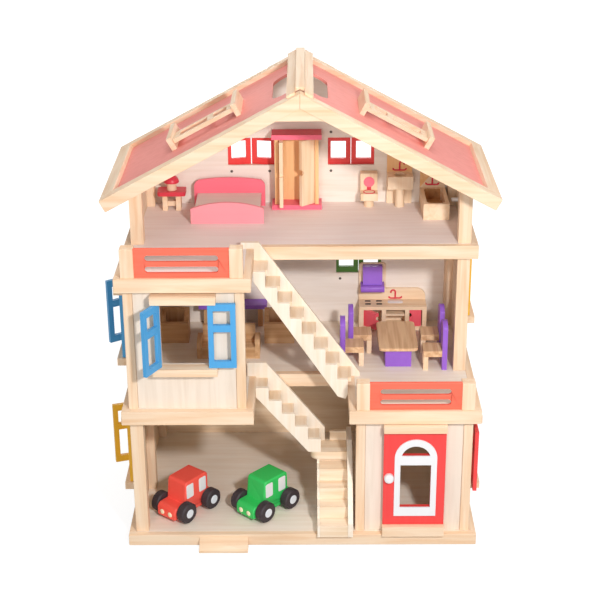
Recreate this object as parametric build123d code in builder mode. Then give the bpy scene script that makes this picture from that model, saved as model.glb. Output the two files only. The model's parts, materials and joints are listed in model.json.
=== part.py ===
"""Wooden dollhouse on three floors: turning shutters, a front door, stairs, furniture and two cars."""
import os
from math import atan2, cos, hypot, radians, sin

from build123d import *

os.makedirs("parts", exist_ok=True)

# House frame
post = 20.0
beam_height = 22.0
beam_thick = 11.0
panel_thick = 6.0
wall_thick = 5.0
wall_lap = 5.5
wall_recess = 2.0
base_height = 19.0
storey = 197.0
body_width = 528.0
body_depth = 344.0
bay_depth = 130.0
bay_width = 180.0
rail_height = 45.5
rail_setback = 2.0
rail_thick = 6.0
rail_recess = 3.0
rail_slot_margin = 16.0
rail_slot_height = 10.0
rail_slot_levels = (12.5, 30.0)
ramp_width = 77.0
ramp_centre = -124.0
ramp_length = 23.0
ramp_back = 15.0
ramp_lip = 4.0

# Clearances
joint_gap = 0.2
seat_gap = 0.1
pin_clear = 0.08
end_clear = 0.5

# Roof
roof_half = 300.0
roof_rise = 162.0
ridge_height = 713.0
roof_front_reach = 56.0
roof_back_reach = 9.0
rafter_thick = 24.0
rafter_depth = 19.3
frame_depth = 12.0
back_strip = 20.0
eave_strip = 21.6
panel_recess = 7.0
roof_panel_thick = 5.0
ridge_board_width = 21.0
ridge_board_thick = 4.0
ridge_board_setback = 11.0
batten_width = 14.0
batten_drop = 1.0
batten_setback = 27.0
handle_half = 42.0
handle_setback = 80.0
handle_round = 18.0
gusset_drop = 41.0
gusset_setback = 2.0
gusset_thick = 10.0
roof_window_near = 105.7
roof_window_setback = 96.0
roof_window_strip = 88.0
roof_window_strip_thick = 8.0
roof_window_rise = 11.0

# Shutters and front door
leaf_thick = 6.0
leaf_lap = 3.0
pin_radius = 2.0
pin_length = 5.5
strip_depth = 20.0
strip_height = 12.0
pivot_out = 9.0
hinge_half = 36.0
opening_half = 33.0
bay_lift = 5.0
bay_half = 39.0
bay_out = 12.0
sill_rise = 70.0
lintel_gap = 22.0
stile = 8.0
leaf_rail = 11.0
upper_pane = 23.0
front_strip_length = 97.0
side_strip_length = 84.0
rear_strip_depth = 14.0
rear_pivot_out = 7.0
rear_strip_height = 10.0
rear_strip_length = 100.0
rear_half = 38.5
rear_height = 47.0
rear_overlap = 3.0
attic_window_x = 83.0
attic_window_share = 0.3817
kitchen_window_x = 97.5
kitchen_window_rise = 90.0
door_left = 126.5
door_right = 222.5
door_thick = 7.0
door_pin_inset = 5.5
door_sill_height = 18.0
door_lintel_height = 12.0
door_gap = 1.0
doorway_inset = 5.0
arch_inset = 17.0
arch_right_inset = 13.5
arch_foot = 17.0
arch_top = 13.5
arch_thick = 2.0
arch_margin = 9.0
pane_foot = 15.5
pane_head = 44.5
lunette_foot = 28.5
lunette_half = 22.0
lunette_rise = 17.0
knob_inset = 8.6
knob_level = 85.0
knob_radius = 7.5
knob_length = 9.0

# Stairs
string_thick = 6.5
stair_gap = 1.5
tread_thick = 7.0
upper_tread_depth = 42.0
upper_treads = 8
upper_rest = 11.0
upper_run = 18.4
upper_first = 19.0
upper_tread_width = 22.0
upper_hook = 20.0
upper_hook_rise = 10.0
lower_tread_depth = 31.0
lower_treads = 5
lower_run = 20.6
lower_first = 2.0
lower_tread_width = 18.5
lower_hook = 14.0
lower_hook_rise = 24.0
upper_string_drop = 44.0
lower_string_drop = 16.0
front_string_depth = 16.0
landing_height = 102.0
landing_left = 14.0
landing_right = 72.0
landing_thick = 13.0
landing_round = 12.0
step_count = 4
step_run = 24.0
step_reach = 8.0
left_string_x = 24.0
left_string_thick = 4.0
side_board_thick = 8.0
side_board_top = 22.0
side_board_toe = 24.0
guard_left = 45.0
guard_rise = 17.0

# Furniture
bed_x = -119.0
bed_width = 118.0
bed_gap = 12.0
bed_length = 92.0
bed_board = 6.0
footboard = 25.0
footboard_arch = 10.5
headboard = 44.0
headboard_arch = 5.0
headboard_round = 12.0
mattress_low = 8.0
mattress_high = 23.0
stand_x = -214.0
stand_gap = 29.0
stand_width = 46.0
stand_depth = 30.0
stand_height = 33.0
stand_top = 7.0
stand_rail = 6.0
leg = 8.0
lamp_radius = 8.0
lamp_height = 19.0
shade_radius = 12.5
wardrobe_x = -7.0
wardrobe_gap = 4.0
wardrobe_depth = 29.0
wardrobe_height = 128.0
wardrobe_width = 72.0
wardrobe_cap = 82.0
wardrobe_side = 6.0
wardrobe_plate = 8.0
cabinet_pin = 1.5
cabinet_pin_length = 4.0
cabinet_door = 6.0
cabinet_setback = 4.6
finger_notch = 5.0
notch_level = 57.0
toilet_x = 112.5
toilet_width = 28.0
toilet_gap = 1.0
toilet_depth = 38.5
toilet_seat = 27.0
seat_thick = 12.0
cistern_thick = 17.0
cistern_height = 55.5
pedestal_radius = 8.0
basin_x = 163.5
basin_width = 42.0
basin_gap = 7.0
basin_depth = 29.0
basin_rim = 55.0
basin_thick = 21.5
basin_bowl = 11.0
basin_bowl_depth = 12.0
splash_share = 0.66
tub_x = 219.0
tub_width = 42.0
tub_gap = 5.5
tub_length = 85.5
tub_height = 27.0
tub_wall = 6.0
tub_floor = 8.0
tub_round = 8.0
tub_board_share = 0.71
kitchen_left = 98.0
kitchen_width = 115.0
kitchen_depth = 34.0
kitchen_height = 43.0
kitchen_board = 6.0
kitchen_bays = (31.0, 32.0, 22.0)
kitchen_back = 5.0
kitchen_splash = 63.0
splash_round = 16.0
shelf_level = 18.0
kitchen_notch = 4.0
kitchen_notch_level = 20.0
shelf_thick = 4.0
chimney_height = 110.0
chimney_width = 46.0
chimney_round = 6.0
hood_width = 40.0
hood_foot = 64.0
hood_lip = 12.0
hood_round = 5.0
hood_inset = 3.5
hood_depth = 24.0
hood_neck = 16.0
hood_crown = 11.0
hood_height = 44.0
table_x = 156.5
table_shift = -30.5
table_width = 63.0
table_length = 108.0
table_height = 35.0
table_thick = 5.0
table_round = 8.0
trestle_width = 42.0
trestle_length = 96.0
chair_width = 34.0
chair_seat = 30.0
chair_level = 33.0
chair_seat_thick = 10.0
chair_back = 80.0
chair_board = 8.0
chair_places = ((62.5, -57.5, 1), (77.0, -10.5, 1), (234.0, -74.5, -1), (234.5, -10.5, -1))
sofa_x = -120.5
sofa_width = 103.0
sofa_shift = -46.5
sofa_depth = 42.0
sofa_seat = 20.0
sofa_arm = 32.0
sofa_back = 46.0
sofa_board = 8.0
arm_round = 10.0
armchair_places = ((-214.0, 15.5, 47.0), (-38.0, 12.5, 50.0))
armchair_depth = 38.0
armchair_front = 36.0
armchair_back = 50.0
armchair_seat = 24.0
side_table_x = -118.5
side_table_width = 117.0
side_table_gap = 2.0
side_table_depth = 28.0
side_table_height = 43.0
side_table_top = 7.0

# Cars
car_length = 94.0
car_width = 40.0
car_clear = 6.0
car_bonnet = 26.5
car_roof = 63.0
cab_rear = -32.0
cab_front = 23.5
cab_lean = 4.0
car_edge = 3.0
car_soft = 2.5
nose_round = 9.0
wheelbase = 57.0
wheel_radius = 17.0
wheel_width = 15.0
wheel_edge = 2.0
wheel_gap = 0.8
axle_radius = 2.5
car_places = {"red_car": (-189.5, 79.8, 231.0), "green_car": (-60.4, 81.7, 226.7)}

# Lines that follow from the sizes above
half_width = body_width / 2
side_face = half_width + beam_thick
front_face = -body_depth / 2
back_outer = body_depth / 2
back_face = back_outer - wall_thick
front_post = front_face + beam_thick
main_face = front_face + bay_depth
main_post = main_face + beam_thick
rear_post = back_face - post
bay_edge = half_width - bay_width
bay_side = bay_edge - beam_thick
floor_1 = base_height
floor_2 = floor_1 + storey + beam_height
floor_3 = floor_2 + storey + beam_height
side_wall = half_width - wall_recess
front_wall = front_post + wall_recess
pitch = atan2(roof_rise, roof_half)
slope_length = hypot(roof_half, roof_rise)
under_depth = panel_recess + roof_panel_thick
roof_front = main_face - roof_front_reach
roof_back = back_outer + roof_back_reach
ridge_board_front = roof_front + ridge_board_setback
batten_front = roof_front + batten_setback
handle_front = roof_front + handle_setback
handle_back = roof_back - handle_setback
gusset_base = ridge_height - gusset_drop
gusset_front = roof_front + gusset_setback
roof_window_front = roof_front + roof_window_setback
opening_height = storey - sill_rise - lintel_gap
door_height = storey - door_sill_height - door_lintel_height - door_gap
bay_window = -(bay_edge + half_width) / 2
side_window = (front_post + post + main_post) / 2
right_upper_window = (main_post + post + rear_post) / 2
upper_rise = (storey + beam_height - upper_rest) / upper_treads
lower_rise = (storey + beam_height - landing_height - lower_first) / lower_treads
step_front = front_face - step_reach
room_middle = (main_face + back_face) / 2
bed_foot = back_face - bed_gap - bed_length
stand_y = back_face - stand_gap
wardrobe_front = back_face - wardrobe_gap - wardrobe_depth
toilet_front = back_face - toilet_gap - toilet_depth
basin_front = back_face - basin_gap - basin_depth
tub_front = back_face - tub_gap - tub_length
kitchen_front = back_face - kitchen_back - kitchen_depth
table_y = room_middle + table_shift
sofa_front = room_middle + sofa_shift
side_table_front = back_face - side_table_gap - side_table_depth


def block(x0, x1, y0, y1, z0, z1, mode=Mode.ADD):
    """Square-edged board between six faces."""
    with Locations(((x0 + x1) / 2, (y0 + y1) / 2, (z0 + z1) / 2)):
        Box(x1 - x0, y1 - y0, z1 - z0, mode=mode)


def board_y(outline, y0, y1, mode=Mode.ADD):
    """Board with an outline in x and z, running back from y0 to y1."""
    with BuildSketch(Plane.XZ.offset(-y0)) as profile:
        Polygon(*outline, align=None)
    extrude(profile.sketch, amount=y0 - y1, mode=mode)


def board_x(outline, x0, x1, mode=Mode.ADD):
    """Board with an outline in y and z, running across from x0 to x1."""
    with BuildSketch(Plane.YZ.offset(x0)) as profile:
        Polygon(*outline, align=None)
    extrude(profile.sketch, amount=x1 - x0, mode=mode)


def rounded_block(x0, x1, y0, y1, z0, z1, radius, mode=Mode.ADD):
    """Board with its four upright edges rounded."""
    with BuildSketch(Plane.XY.offset(z0)) as profile:
        with Locations(((x0 + x1) / 2, (y0 + y1) / 2)):
            RectangleRounded(x1 - x0, y1 - y0, radius)
    extrude(profile.sketch, amount=z1 - z0, mode=mode)


def upright(x, y, z, radius, height, mode=Mode.ADD):
    """Round bar or hole standing on z."""
    with Locations((x, y, z + height / 2)):
        Cylinder(radius, height, mode=mode)


def arched(width, height, arch):
    """Board face on its lower edge's middle, with a shallow arched top."""
    with BuildLine() as edge:
        Polyline((width / 2, height), (width / 2, 0), (-width / 2, 0), (-width / 2, height))
        ThreePointArc((-width / 2, height), (0, height + arch), (width / 2, height))
    make_face(edge.edges())


def save(piece, name):
    """Label a finished piece and write it out."""
    piece.part.label = name
    export_step(piece.part, f"parts/{name}.step")


def slope_point(side, along, lift):
    """Point in x and z on a roof slope: a way down from the ridge, and a lift off the frame's top."""
    x = along * cos(pitch) + lift * sin(pitch)
    return side * x, ridge_height - along * sin(pitch) + lift * cos(pitch)


def roof_line(x, lift):
    """Height of the roof's slope over x at a lift off the frame's top."""
    return ridge_height - abs(x) * roof_rise / roof_half + lift / cos(pitch)


def slope_layer(side, x0, along, low, high):
    """Outline of one layer of a slope, cut upright at x0 and square at its lower end."""
    return [
        (side * x0, roof_line(x0, high)),
        slope_point(side, along, high),
        slope_point(side, along, low),
        (side * x0, roof_line(x0, low)),
    ]


def under_roof(x):
    """Height at which a wall or post meets the roof panel."""
    return roof_line(x, -under_depth) - joint_gap


attic_window_end = attic_window_x + rear_strip_length / 2
attic_window_rise = attic_window_share * (under_roof(attic_window_end) - floor_3)
splash_height = splash_share * (under_roof(basin_x + basin_width / 2) - floor_3)
tub_board_height = tub_board_share * (under_roof(tub_x + tub_width / 2) - floor_3)


# Floors
with BuildPart() as base_panel:
    block(-half_width, half_width, front_post, back_face, floor_1 - panel_thick, floor_1)
save(base_panel, "base_panel")

with BuildPart() as base_beams:
    block(-side_face, side_face, front_face, front_post, 0, floor_1)
    for side in (-1, 1):
        x0, x1 = sorted((side * half_width, side * side_face))
        block(x0, x1, front_post + joint_gap, back_outer, 0, floor_1)
    batten_reach = half_width - joint_gap
    for y in (-beam_thick / 2, back_face - beam_thick):
        block(-batten_reach, batten_reach, y, y + beam_thick, 0, floor_1 - panel_thick)
save(base_beams, "base_beams")

ramp_slope = [
    (front_face - ramp_length, 0),
    (front_face - ramp_length, ramp_lip),
    (front_face - seat_gap, ramp_back),
    (front_face - seat_gap, 0),
]
with BuildPart() as car_ramp:
    board_x(ramp_slope, ramp_centre - ramp_width / 2, ramp_centre + ramp_width / 2)
save(car_ramp, "car_ramp")

with BuildPart() as upper_floor_panel:
    block(-half_width, half_width, main_post, back_face, floor_2 - panel_thick, floor_2)
    block(-half_width, -bay_edge, front_post, main_post, floor_2 - panel_thick, floor_2)
    block(bay_edge, half_width, front_post, main_post, floor_2 - panel_thick, floor_2)
save(upper_floor_panel, "upper_floor_panel")

with BuildPart() as attic_floor_panel:
    block(-half_width, half_width, main_post, back_face, floor_3 - panel_thick, floor_3)
    block(-half_width, -bay_edge, front_post, main_post, floor_3 - panel_thick, floor_3)
save(attic_floor_panel, "attic_floor_panel")


def beam_ring(top, right_front, main_right):
    """Beams round one floor: the bay on the left, and on the right as far as the floor reaches."""
    low = top - beam_height
    block(-side_face, -bay_side, front_face, front_post, low, top)
    block(-bay_edge, -bay_side, front_post + joint_gap, main_face - joint_gap, low, top)
    block(-bay_edge, main_right, main_face, main_post, low, top)
    block(-side_face, -half_width, front_post + joint_gap, back_outer, low, top)
    block(half_width, side_face, right_front + joint_gap, back_outer, low, top)


with BuildPart() as upper_floor_beams:
    beam_ring(floor_2, front_post, bay_edge)
    block(bay_side, side_face, front_face, front_post, floor_2 - beam_height, floor_2)
    block(
        bay_side, bay_edge, front_post + joint_gap, main_face - joint_gap, floor_2 - beam_height,
        floor_2,
    )
save(upper_floor_beams, "upper_floor_beams")

with BuildPart() as attic_floor_beams:
    beam_ring(floor_3, main_post, side_face)
save(attic_floor_beams, "attic_floor_beams")

# Posts
outer_left = -half_width
outer_right = half_width - post
corner_posts = [
    (outer_left, main_post),
    (outer_left, rear_post),
    (outer_right, main_post),
    (outer_right, rear_post),
]
ground_fronts = [(outer_left, front_post), (outer_right, front_post), (bay_edge, front_post)]
ground_places = corner_posts + ground_fronts
upper_places = corner_posts + [(outer_left, front_post), (-bay_edge - post, front_post)]

bay_panel = (-half_width + post - wall_lap, -bay_edge - post + wall_lap)
door_panel = (bay_edge + post - wall_lap, half_width - post + wall_lap)


def rebate(panel, z0, z1):
    """Rebate in the front posts for the lapped edges of a wall panel."""
    block(
        panel[0] - joint_gap, panel[1] + joint_gap, front_post, front_wall + wall_thick + joint_gap,
        z0, z1, Mode.SUBTRACT,
    )


with BuildPart() as ground_posts:
    for x, y in ground_places:
        block(x, x + post, y, y + post, floor_1, floor_2 - panel_thick)
    rebate(door_panel, floor_1, floor_2 - panel_thick)
save(ground_posts, "ground_posts")

with BuildPart() as upper_posts:
    for x, y in upper_places:
        block(x, x + post, y, y + post, floor_2, floor_3 - panel_thick)
    rebate(bay_panel, floor_2, floor_3 - panel_thick)
save(upper_posts, "upper_posts")

with BuildPart() as attic_posts:
    for x, y in corner_posts:
        foot = [(x, floor_3), (x, under_roof(x)), (x + post, under_roof(x + post)), (x + post, floor_3)]
        board_y(foot, y, y + post)
save(attic_posts, "attic_posts")

rail_line = front_face + rail_setback
rail_bays = [(outer_left, -bay_edge - post, floor_3), (bay_edge, outer_right, floor_2)]
with BuildPart() as railing_posts:
    for left, right, level in rail_bays:
        for x in (left, right):
            block(x, x + post, rail_line, rail_line + post, level, level + rail_height)
save(railing_posts, "railing_posts")

with BuildPart() as railings:
    for left, right, level in rail_bays:
        length = right - left - post
        with BuildSketch(Plane.XZ.offset(-rail_line - rail_recess)) as rail_face:
            with Locations(((left + post + right) / 2, level + rail_height / 2)):
                Rectangle(length, rail_height)
            for slot in rail_slot_levels:
                with Locations(((left + post + right) / 2, level + slot)):
                    SlotOverall(length - 2 * rail_slot_margin, rail_slot_height, mode=Mode.SUBTRACT)
        extrude(rail_face.sketch, amount=-rail_thick)
save(railings, "railings")

# Walls
bay_run = (front_post + post, main_post)
main_run = (main_post + post, rear_post)
storeys = {1: (floor_1, floor_2 - panel_thick), 2: (floor_2, floor_3 - panel_thick)}


def side_board(side, run, level):
    """Plain panel between two posts of a side wall."""
    x0, x1 = sorted((side * (side_wall - wall_thick), side * side_wall))
    block(x0, x1, run[0], run[1], level[0], level[1])


def side_opening(side, centre, floor):
    """Window opening through a side wall."""
    x0, x1 = sorted((side * (side_wall - 2 * wall_thick), side * (side_wall + wall_thick)))
    sill = floor + sill_rise
    block(
        x0, x1, centre - opening_half, centre + opening_half, sill, sill + opening_height,
        Mode.SUBTRACT,
    )


def attic_side(side):
    """Attic side panel with its top cut to the roof's slope."""
    x0 = side * (side_wall - wall_thick)
    x1 = side * side_wall
    outline = [(x0, floor_3), (x1, floor_3), (x1, under_roof(x1)), (x0, under_roof(x0))]
    board_y(outline, main_run[0], main_run[1])


with BuildPart() as left_walls:
    for level in storeys.values():
        side_board(-1, bay_run, level)
        side_board(-1, main_run, level)
        side_opening(-1, side_window, level[0])
    attic_side(-1)
save(left_walls, "left_walls")

with BuildPart() as right_walls:
    side_board(1, bay_run, storeys[1])
    side_opening(1, side_window, floor_1)
    side_board(1, main_run, storeys[1])
    side_board(1, main_run, storeys[2])
    side_opening(1, right_upper_window, floor_2)
    attic_side(1)
save(right_walls, "right_walls")

door_foot = floor_1 + door_sill_height
door_head = door_foot + door_height
door_pin = door_right - door_pin_inset
with BuildPart() as front_walls:
    block(*bay_panel, front_wall, front_wall + wall_thick, *storeys[2])
    sill = floor_2 + bay_lift + sill_rise
    window_left = bay_window - bay_half + leaf_lap
    window_right = bay_window + bay_half - leaf_lap
    wall_back = front_wall + 2 * wall_thick
    block(
        window_left, window_right, front_wall - wall_thick, wall_back, sill, sill + opening_height,
        Mode.SUBTRACT,
    )
    block(*door_panel, front_wall, front_wall + wall_thick, *storeys[1])
    way_left = door_left + doorway_inset
    way_right = door_right - doorway_inset
    block(way_left, way_right, front_wall - wall_thick, wall_back, door_foot, door_head, Mode.SUBTRACT)
save(front_walls, "front_walls")

wall_seam_1 = floor_2 - beam_thick
wall_seam_2 = floor_3 - beam_thick
rear_windows = {
    "attic_left": (-attic_window_x, floor_3 + attic_window_rise),
    "attic_right": (attic_window_x, floor_3 + attic_window_rise),
    "kitchen": (kitchen_window_x, floor_2 + kitchen_window_rise),
}
gable = [
    (-half_width, wall_seam_2 + joint_gap),
    (half_width, wall_seam_2 + joint_gap),
    (half_width, under_roof(half_width)),
    (0, under_roof(0)),
    (-half_width, under_roof(half_width)),
]
with BuildPart() as back_walls:
    block(-half_width, half_width, back_face, back_outer, 0, wall_seam_1)
    block(-half_width, half_width, back_face, back_outer, wall_seam_1 + joint_gap, wall_seam_2)
    board_y(gable, back_face, back_outer)
    for x, z in rear_windows.values():
        block(
            x - rear_half, x + rear_half, rear_post, back_outer + post, z, z + rear_height,
            Mode.SUBTRACT,
        )
save(back_walls, "back_walls")

# Shutters: each wall has a direction along it, a direction out of it and a plane
walls = {
    "front": ((1, 0), (0, -1), front_wall),
    "left": ((0, 1), (-1, 0), -side_wall),
    "right": ((0, 1), (1, 0), side_wall),
    "back": ((1, 0), (0, 1), back_outer),
}


def wall_point(wall, along, out):
    """Point in x and y, a way along a wall and out from its outer face."""
    run, normal, plane = walls[wall]
    if run[0]:
        return along, plane + normal[1] * out
    return plane + normal[0] * out, along


def strip(wall, centre, length, depth, z0, z1, holes, radius, hole_z0, hole_z1):
    """Strip along a wall's outer face, drilled for the pins."""
    xa, ya = wall_point(wall, centre - length / 2, 0)
    xb, yb = wall_point(wall, centre + length / 2, depth)
    block(min(xa, xb), max(xa, xb), min(ya, yb), max(ya, yb), z0, z1)
    for x, y in holes:
        upright(x, y, hole_z0, radius, hole_z1 - hole_z0, Mode.SUBTRACT)


def strip_pair(wall, centre, length, depth, height, out, half, sill, lintel):
    """Sill and lintel strips of one window."""
    holes = [wall_point(wall, centre + half * end, out) for end in (-1, 1)]
    radius = pin_radius + pin_clear
    bore = pin_length + end_clear
    strip(wall, centre, length, depth, sill - height, sill, holes, radius, sill - bore, sill)
    strip(wall, centre, length, depth, lintel, lintel + height, holes, radius, lintel, lintel + bore)


def leaf(hinge, turn, foot, height, reach, thick, panes, radius, length):
    """Leaf on two pins: hinge in x and y, direction it points, panes as (left, right, low, high)."""
    way = (cos(turn), sin(turn), 0)
    face = Plane(origin=(hinge[0], hinge[1], foot), x_dir=way, z_dir=(way[1], -way[0], 0))
    with BuildSketch(face) as outline:
        with Locations(((reach - leaf_lap) / 2, height / 2)):
            Rectangle(reach + leaf_lap, height)
        for left, right, low, high in panes:
            with Locations(((left + right) / 2, (low + high) / 2)):
                Rectangle(right - left, high - low, mode=Mode.SUBTRACT)
    extrude(outline.sketch, amount=thick / 2, both=True)
    upright(hinge[0], hinge[1], foot - length, radius, length)
    upright(hinge[0], hinge[1], foot + height, radius, length)


def leaf_turn(wall, end, opened):
    """Direction of a leaf hinged at one end of its window and opened by some degrees."""
    run, normal, plane = walls[wall]
    swing = radians(opened)
    x = -end * run[0] * cos(swing) + normal[0] * sin(swing)
    y = -end * run[1] * cos(swing) + normal[1] * sin(swing)
    return atan2(y, x)


large_windows = {
    "bay": (
        "front", bay_window, floor_2 + bay_lift, front_strip_length, bay_half, bay_out,
        {"left": 118.0, "right": 180.0},
    ),
    "left_upper": (
        "left", side_window, floor_2, side_strip_length, hinge_half, pivot_out,
        {"front": 0.0, "rear": 56.0},
    ),
    "left_lower": (
        "left", side_window, floor_1, side_strip_length, hinge_half, pivot_out,
        {"front": 0.0, "rear": 72.0},
    ),
    "right_lower": (
        "right", side_window, floor_1, side_strip_length, hinge_half, pivot_out,
        {"front": 180.0, "rear": 0.0},
    ),
    "right_upper": (
        "right", right_upper_window, floor_2, side_strip_length, hinge_half, pivot_out,
        {"front": 0.0, "rear": 0.0},
    ),
}
rear_opened = {"attic_left": 12.0, "attic_right": 0.0, "kitchen": 0.0}
leaf_reach = hinge_half - end_clear
leaf_height = opening_height - 2 * end_clear
pane_left = stile - leaf_lap
rear_leaf_height = rear_height + 2 * rear_overlap - 2 * end_clear
rear_reach = rear_half - end_clear
rear_panes = [(pane_left, rear_reach - stile, leaf_rail, rear_leaf_height - leaf_rail)]


def large_panes(reach):
    """Upper and lower pane of a large leaf."""
    pane_right = reach - stile
    upper_low = leaf_height - leaf_rail - upper_pane
    return [
        (pane_left, pane_right, upper_low, leaf_height - leaf_rail),
        (pane_left, pane_right, leaf_rail, upper_low - leaf_rail),
    ]


with BuildPart() as window_strips:
    for wall, centre, floor, length, half, out, opened in large_windows.values():
        sill = floor + sill_rise
        lintel = sill + opening_height
        strip_pair(wall, centre, length, strip_depth, strip_height, out, half, sill, lintel)
    for x, z in rear_windows.values():
        sill = z - rear_overlap
        lintel = z + rear_height + rear_overlap
        height = rear_strip_height
        strip_pair(
            "back", x, rear_strip_length, rear_strip_depth, height, rear_pivot_out, rear_half,
            sill, lintel,
        )
    door_hole = [wall_point("front", door_pin, pivot_out)]
    door_middle = (door_left + door_right) / 2
    hole = pin_radius + pin_clear
    bore = pin_length + end_clear
    length = front_strip_length
    strip(
        "front", door_middle, length, strip_depth, floor_1 + joint_gap, door_foot, door_hole, hole,
        door_foot - bore, door_foot,
    )
    door_cap = door_head + door_lintel_height
    strip(
        "front", door_middle, length, strip_depth, door_head, door_cap, door_hole, hole, door_head,
        door_head + bore,
    )
save(window_strips, "window_strips")

for name, (wall, centre, floor, length, half, out, opened) in large_windows.items():
    for (place, angle), end in zip(opened.items(), (-1, 1)):
        hinge = wall_point(wall, centre + end * half, out)
        foot = floor + sill_rise + end_clear
        reach = half - end_clear
        with BuildPart() as shutter:
            turn = leaf_turn(wall, end, angle)
            leaf(
                hinge, turn, foot, leaf_height, reach, leaf_thick, large_panes(reach), pin_radius,
                pin_length,
            )
        save(shutter, f"{name}_{place}_shutter")

for name, (x, z) in rear_windows.items():
    for place, end in (("left", -1), ("right", 1)):
        hinge = wall_point("back", x + end * rear_half, rear_pivot_out)
        foot = z - rear_overlap + end_clear
        with BuildPart() as shutter:
            turn = leaf_turn("back", end, rear_opened[name])
            height = rear_leaf_height
            leaf(hinge, turn, foot, height, rear_reach, leaf_thick, rear_panes, pin_radius, pin_length)
        save(shutter, f"{name}_{place}_shutter")

# Front door: leaf with a raised arched frame and a knob
door_y = front_wall - pivot_out
door_low = door_foot + end_clear
door_high = door_head - end_clear
door_face = door_y - door_thick / 2
arch_left = door_left + arch_inset
arch_right = door_right - arch_right_inset
arch_low = door_foot + arch_foot
arch_middle = (arch_left + arch_right) / 2
arch_half = (arch_right - arch_left) / 2
arch_spring = door_head - arch_top - arch_half
pane_low = arch_low + pane_foot
pane_high = door_head - arch_top - pane_head
lunette_low = door_head - arch_top - lunette_foot
with BuildPart() as front_door:
    block(door_left, door_right, door_face, door_face + door_thick, door_low, door_high)
    upright(door_pin, door_y, door_low - pin_length, pin_radius, pin_length)
    upright(door_pin, door_y, door_high, pin_radius, pin_length)
    with BuildSketch(Plane.XZ.offset(-door_face + seat_gap)) as arch_face:
        with Locations((arch_middle, (arch_low + arch_spring) / 2)):
            Rectangle(2 * arch_half, arch_spring - arch_low)
        with Locations((arch_middle, arch_spring)):
            Circle(arch_half)
    extrude(arch_face.sketch, amount=arch_thick)
    with BuildSketch(Plane.XZ.offset(-door_face)) as glass_face:
        with Locations((arch_middle, (pane_low + pane_high) / 2)):
            Rectangle(2 * (arch_half - arch_margin), pane_high - pane_low)
        with BuildLine():
            lunette_start = (arch_middle + lunette_half, lunette_low)
            lunette_end = (arch_middle - lunette_half, lunette_low)
            Line(lunette_end, lunette_start)
            ThreePointArc(lunette_start, (arch_middle, lunette_low + lunette_rise), lunette_end)
        make_face()
    extrude(glass_face.sketch, amount=2 * door_thick, both=True, mode=Mode.SUBTRACT)
    with BuildSketch(Plane.XZ.offset(-door_face + seat_gap)) as knob_face:
        with Locations((door_left + knob_inset, door_low + knob_level)):
            Circle(knob_radius)
    knob = extrude(knob_face.sketch, amount=knob_length)
    fillet(knob.faces().sort_by(Axis.Y)[0].edges(), knob_radius / 2)
save(front_door, "front_door")

# Roof
panel_front = roof_front + rafter_thick
panel_back = roof_back - back_strip
seam = joint_gap / 2
eave_start = slope_length - eave_strip
with BuildPart() as roof_panels:
    for side in (-1, 1):
        board_y(slope_layer(side, seam, eave_start, -under_depth, -panel_recess), panel_front, panel_back)
    handle_z = ridge_height - roof_rise
    rounded_block(
        -handle_half, handle_half, handle_front, handle_back, handle_z, ridge_height, handle_round,
        Mode.SUBTRACT,
    )
save(roof_panels, "roof_panels")

gusset_tip = roof_line(0, -rafter_depth) - joint_gap
gusset_half = (gusset_tip - gusset_base) * roof_half / roof_rise
with BuildPart() as roof_frames:
    for side in (-1, 1):
        board_y(slope_layer(side, seam, slope_length, -rafter_depth, 0), roof_front, panel_front)
        board_y(slope_layer(side, seam, slope_length, -frame_depth, 0), panel_back, roof_back)
        eave = [
            slope_point(side, eave_start, 0),
            slope_point(side, slope_length, 0),
            slope_point(side, slope_length, -frame_depth),
            slope_point(side, eave_start, -frame_depth),
        ]
        board_y(eave, panel_front + joint_gap, panel_back - joint_gap)
    gusset = [(-gusset_half, gusset_base), (gusset_half, gusset_base), (0, gusset_tip)]
    board_y(gusset, gusset_front, gusset_front + gusset_thick)
save(roof_frames, "roof_frames")

batten_half = batten_width / 2
batten_top = roof_line(0, ridge_board_thick) - batten_drop
ridge_start = batten_half + joint_gap
with BuildPart() as ridge_boards:
    for side in (-1, 1):
        ridge_layer = slope_layer(side, ridge_start, ridge_board_width, 0, ridge_board_thick)
        board_y(ridge_layer, ridge_board_front, roof_back)
    batten = [
        (-batten_half, roof_line(batten_half, 0)),
        (0, roof_line(0, 0)),
        (batten_half, roof_line(batten_half, 0)),
        (batten_half, batten_top),
        (-batten_half, batten_top),
    ]
    board_y(batten, batten_front, roof_back)
save(ridge_boards, "ridge_boards")

# Roof windows: two strips standing on each slope and a leaf that tips up between them
roof_leaf_length = opening_height - 2 * end_clear
strip_near = (roof_window_near, roof_window_near + roof_window_strip_thick)
strip_far_start = strip_near[1] + opening_height
strip_far = (strip_far_start, strip_far_start + roof_window_strip_thick)
roof_pivot_y = roof_window_front + pin_radius + end_clear + 2 * leaf_lap
roof_pivot_lift = roof_window_rise - panel_recess


def slope_plane(side, along, lift):
    """Plane square to a slope's run: local x goes back, local y stands off the slope."""
    x, z = slope_point(side, along, lift)
    down = (side * cos(pitch), 0, -sin(pitch))
    return Plane(origin=(x, roof_pivot_y, z), x_dir=(0, 1, 0), z_dir=down)


def slope_bar(side, along, length, radius, mode=Mode.ADD):
    """Round bar or hole along a slope on the roof leaf's pivot line."""
    with BuildSketch(slope_plane(side, along, roof_pivot_lift)) as section:
        Circle(radius)
    extrude(section.sketch, amount=length, mode=mode)


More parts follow.
